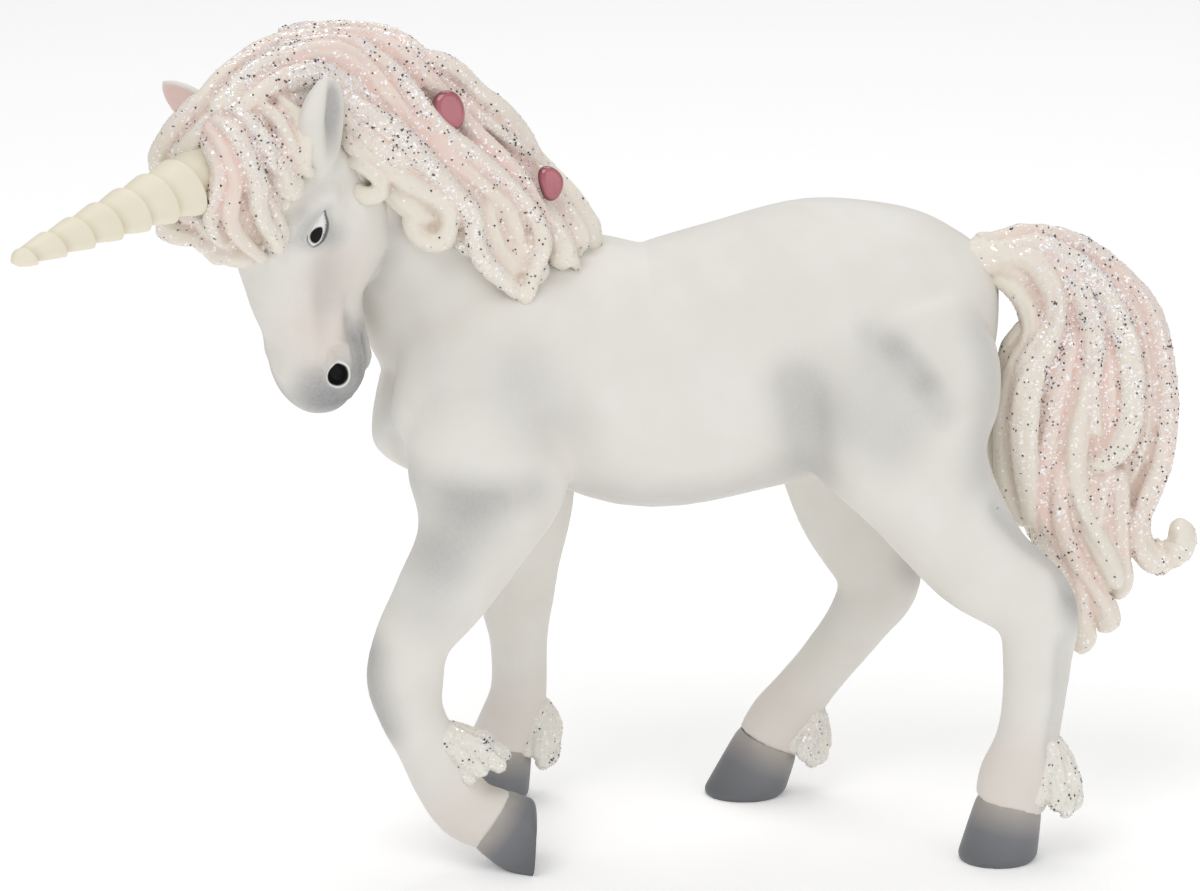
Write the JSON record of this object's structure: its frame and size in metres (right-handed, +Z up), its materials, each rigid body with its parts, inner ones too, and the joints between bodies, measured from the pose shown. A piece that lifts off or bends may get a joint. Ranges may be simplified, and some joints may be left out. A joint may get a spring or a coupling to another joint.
{
  "type": "unicorn figurine",
  "caption": "Walking pony unicorn figurine with turned head, ridged horn, flowing glittered mane and tail, feathered fetlocks and set gems; stands on its hooves.",
  "frame": {"origin": "middle of the whole figure's footprint box, on the ground under the soles", "axes": "+X from the head end towards the tail, +Y to the animal's right, +Z up"},
  "size_m": [0.1278, 0.054, 0.0935],
  "materials": {
    "coat": "matt warm-white paint with soft grey airbrush shading",
    "ivory": "satin ivory paint",
    "hair": "cream and pale pink paint with scattered glitter",
    "feather": "cream paint with scattered glitter",
    "hoof": "satin blue-grey paint, paler at the coronet",
    "gem": "glossy dusty rose"
  },
  "bodies": {
    "root": {"torso": "coat", "head": "coat", "ear_left": "coat", "ear_right": "coat", "fore_leg_left": "coat", "fore_leg_right": "coat", "hind_leg_left": "coat", "hind_leg_right": "coat", "horn": "ivory", "forelock": "hair", "mane": "hair", "tail": "hair", "fore_tuft_left": "feather", "fore_tuft_right": "feather", "hind_tuft_left": "feather", "hind_tuft_right": "feather", "fore_hoof_left": "hoof", "fore_hoof_right": "hoof", "hind_hoof_left": "hoof", "hind_hoof_right": "hoof", "gem_upper": "gem", "gem_lower": "gem"}
  },
  "joints": []
}
